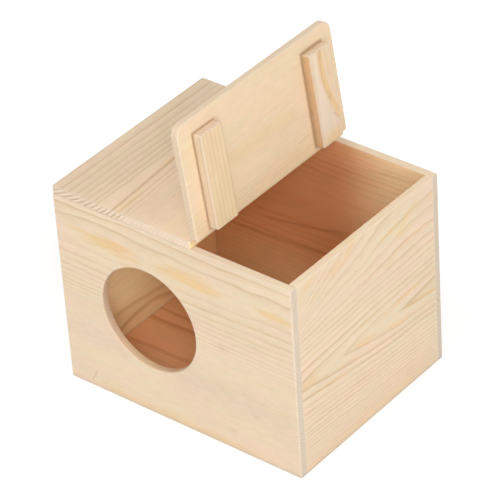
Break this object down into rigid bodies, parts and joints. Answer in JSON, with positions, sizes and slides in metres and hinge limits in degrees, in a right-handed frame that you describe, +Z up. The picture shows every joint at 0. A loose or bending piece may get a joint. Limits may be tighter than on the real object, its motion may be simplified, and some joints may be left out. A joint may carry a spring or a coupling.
{
  "type": "wooden parakeet house",
  "caption": "Small pine nest box with a round entrance hole in its front panel, a fixed roof board over one side and a hinged lid board with battens over the other.",
  "frame": {"origin": "centre of the base, on the surface the box stands on", "axes": "+Z up, the front panel with the entrance hole faces -Y, the hinged lid is on the +X side"},
  "size_m": [0.15, 0.12, 0.1833],
  "materials": {
    "front_pine": "sanded, unfinished pine",
    "back_pine": "sanded, unfinished pine",
    "left_end_pine": "sanded, unfinished pine",
    "right_end_pine": "sanded, unfinished pine",
    "floor_pine": "sanded, unfinished pine",
    "roof_pine": "sanded, unfinished pine",
    "lid_pine": "sanded, unfinished pine",
    "front_batten_pine": "sanded, unfinished pine",
    "rear_batten_pine": "sanded, unfinished pine",
    "hinge_metal": "satin",
    "pin_metal": "satin",
    "screw_metal": "satin"
  },
  "bodies": {
    "box": {"front_panel": "front_pine", "back_panel": "back_pine", "left_end_panel": "left_end_pine", "right_end_panel": "right_end_pine", "floor_panel": "floor_pine", "roof_board": "roof_pine", "front_hinge_roof_leaf": "hinge_metal", "front_hinge_pin": "pin_metal", "rear_hinge_roof_leaf": "hinge_metal", "rear_hinge_pin": "pin_metal", "roof_leaf_screws": "screw_metal"},
    "lid": {"lid_board": "lid_pine", "front_batten": "front_batten_pine", "rear_batten": "rear_batten_pine", "front_hinge_lid_leaf": "hinge_metal", "rear_hinge_lid_leaf": "hinge_metal", "lid_leaf_screws": "screw_metal"}
  },
  "joints": [
    {"name": "lid_hinge", "type": "hinge", "parent": "box", "child": "lid", "pos_m": [0.014, 0, 0.1197], "axis": [0, 1, 0], "range_deg": [-82.5, 97.4]}
  ]
}
